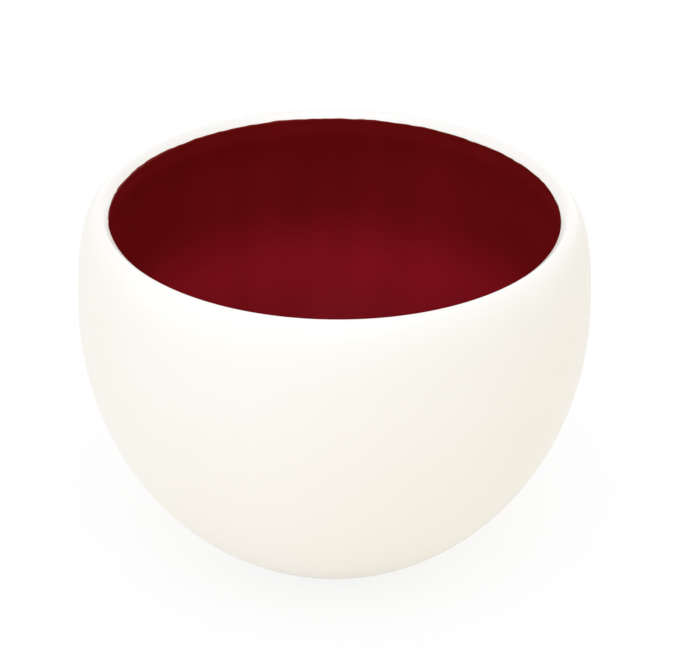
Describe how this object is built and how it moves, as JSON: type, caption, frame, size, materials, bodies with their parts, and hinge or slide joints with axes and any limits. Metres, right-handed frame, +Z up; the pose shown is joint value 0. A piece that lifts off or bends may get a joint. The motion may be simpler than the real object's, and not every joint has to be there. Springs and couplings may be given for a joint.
{
  "type": "salad bowl",
  "caption": "Deep round porcelain salad bowl with a curved-in rounded lip and a recessed foot ring, glazed white outside and burgundy inside, for serving salad.",
  "frame": {"origin": "centre of the foot ring, on the plane that the bowl stands on", "axes": "+Z up along the bowl's axis, from the table to the mouth; X and Y are any two level directions, because the bowl is round"},
  "size_m": [0.2, 0.2, 0.146],
  "materials": {
    "porcelain_biscuit": "bare fired porcelain, matt and smooth",
    "white_glaze": "soft glossy ivory-white glaze",
    "burgundy_glaze": "glossy deep burgundy glaze"
  },
  "bodies": {
    "root": {"porcelain_body": "porcelain_biscuit", "cover_glaze": "white_glaze", "burgundy_lining": "burgundy_glaze", "base_glaze": "white_glaze"}
  },
  "joints": []
}
